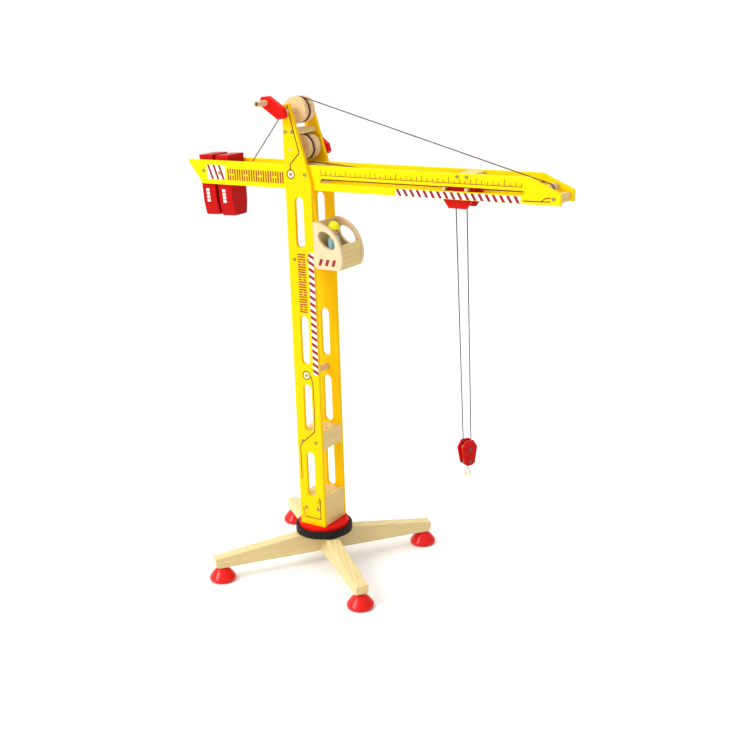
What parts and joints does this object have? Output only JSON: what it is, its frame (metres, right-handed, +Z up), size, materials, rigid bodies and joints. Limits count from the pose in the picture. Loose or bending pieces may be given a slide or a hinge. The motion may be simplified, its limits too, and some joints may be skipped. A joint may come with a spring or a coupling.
{
  "type": "toy tower crane",
  "caption": "Wooden toy tower crane with slewing mast, jib, two crank winches, rope trolley, hook block, open cab, counterweights and cross base.",
  "frame": {"origin": "on the floor, on the axis that the mast turns about", "axes": "+Z up along the slewing axis, +X along the jib towards its tip, -Y towards the near side with the exposed crank"},
  "size_m": [0.7451, 0.3722, 0.8997],
  "materials": {
    "yellow_painted_plywood": "glossy paint over plywood",
    "pine": "clear satin varnish",
    "block_wood": "clear satin varnish",
    "red_painted_wood": "glossy paint over solid wood",
    "natural_wood": "clear satin varnish",
    "black_plastic": "satin",
    "cream_plastic": "satin",
    "zinc_screw": "zinc plated",
    "steel_pin": "satin",
    "dark_red_rope": "twisted cord",
    "brown_rope": "twisted cord",
    "blue_cloth": "satin paint",
    "skin_paint": "satin paint",
    "yellow_helmet": "gloss paint"
  },
  "bodies": {
    "base": {"base_plank_a": "pine", "base_plank_b": "pine", "feet": "red_painted_wood", "foot_screws": "zinc_screw", "turntable_ring": "black_plastic", "pivot_bolt_and_nut": "zinc_screw"},
    "tower": {"turntable_disc": "red_painted_wood", "mast_plate_near": "yellow_painted_plywood", "mast_plate_far": "yellow_painted_plywood", "mast_foot_block": "block_wood", "mast_middle_block": "block_wood", "mast_cross_dowel": "natural_wood", "cab_mount_block": "block_wood", "head_spacer_block": "block_wood", "jib_root_block": "block_wood", "frame_screws": "zinc_screw", "jib_plate_near": "yellow_painted_plywood", "jib_plate_far": "yellow_painted_plywood", "jib_middle_block": "block_wood", "jib_tip_block": "block_wood", "jib_pins": "steel_pin", "counterweight_outer": "red_painted_wood", "counterweight_inner": "red_painted_wood", "cab_side_near": "natural_wood", "cab_side_far": "natural_wood", "cab_front_panel": "natural_wood", "cab_back_panel": "natural_wood", "cab_floor": "natural_wood", "trolley_rope": "dark_red_rope", "hoist_rope_runs": "brown_rope"},
    "upper_winch": {"upper_drum": "natural_wood", "upper_drum_rope": "dark_red_rope", "upper_axle": "natural_wood", "front_crank_arm": "red_painted_wood", "front_handle_screw": "zinc_screw"},
    "front_handle": {"front_crank_handle": "natural_wood"},
    "lower_winch": {"lower_drum": "natural_wood", "lower_drum_rope": "brown_rope", "lower_axle": "natural_wood", "back_crank_arm": "red_painted_wood", "back_handle_screw": "zinc_screw"},
    "back_handle": {"back_crank_handle": "natural_wood"},
    "tip_roller": {"tip_roller": "natural_wood"},
    "tail_roller": {"tail_roller": "natural_wood"},
    "trolley": {"trolley_plate_near": "red_painted_wood", "trolley_plate_far": "red_painted_wood", "trolley_dowels": "natural_wood", "trolley_guides": "steel_pin", "trolley_rope_runs": "dark_red_rope", "hoist_rope_falls": "brown_rope"},
    "hook_block": {"hook_plate_near": "red_painted_wood", "hook_plate_far": "red_painted_wood", "hook_pins": "steel_pin", "hook_spacer": "steel_pin", "hoist_rope_bend": "brown_rope"},
    "hook_pulley": {"hook_pulley": "cream_plastic"},
    "hook": {"hook": "cream_plastic"},
    "driver": {"driver_body": "blue_cloth", "driver_head": "skin_paint", "driver_helmet": "yellow_helmet"}
  },
  "joints": [
    {"name": "slew", "type": "hinge", "parent": "base", "child": "tower", "pos_m": [0, 0, 0.09], "axis": [0, 0, 1], "continuous": true},
    {"name": "trolley_crank", "type": "hinge", "parent": "tower", "child": "upper_winch", "pos_m": [-0.0165, 0, 0.8725], "axis": [0, 1, 0], "range_deg": [-238, 500]},
    {"name": "front_handle_spin", "type": "hinge", "parent": "upper_winch", "child": "front_handle", "pos_m": [-0.04099, 0, 0.8884], "axis": [0, 1, 0], "continuous": true},
    {"name": "hoist_crank", "type": "hinge", "parent": "tower", "child": "lower_winch", "pos_m": [-0.0135, 0, 0.8065], "axis": [0, 1, 0], "range_deg": [-1110, 1980]},
    {"name": "back_handle_spin", "type": "hinge", "parent": "lower_winch", "child": "back_handle", "pos_m": [-0.02931, 0, 0.81842], "axis": [0, 1, 0], "continuous": true},
    {"name": "tip_roller_spin", "type": "hinge", "parent": "tower", "child": "tip_roller", "pos_m": [0.462, 0, 0.7587], "axis": [0, 1, 0], "continuous": true},
    {"name": "tail_roller_spin", "type": "hinge", "parent": "tower", "child": "tail_roller", "pos_m": [-0.13, 0, 0.7587], "axis": [0, 1, 0], "continuous": true},
    {"name": "trolley_slide", "type": "slide", "parent": "tower", "child": "trolley", "axis": [1, 0, 0], "range_m": [-0.203, 0.097], "deforming": ["trolley_rope_runs", "hoist_rope_runs"]},
    {"name": "hook_slide", "type": "slide", "parent": "trolley", "child": "hook_block", "axis": [0, 0, 1], "range_m": [-0.225, 0.402], "deforming": ["hoist_rope_falls"]},
    {"name": "hook_pulley_spin", "type": "hinge", "parent": "hook_block", "child": "hook_pulley", "pos_m": [0.3135, 0, 0.291], "axis": [-0.866, 0.5, 0], "continuous": true},
    {"name": "hook_swivel", "type": "hinge", "parent": "hook_block", "child": "hook", "pos_m": [0.3135, 0, 0.264], "axis": [0, 0, 1], "continuous": true},
    {"name": "driver_lift", "type": "slide", "parent": "tower", "child": "driver", "axis": [0, 0, 1], "range_m": [0, 0.055]}
  ],
  "couplings": [
    {"joint": "trolley_slide", "follows": "trolley_crank", "m_per_rad": -0.0232},
    {"joint": "hook_slide", "follows": "hoist_crank", "m_per_rad": 0.0116}
  ]
}
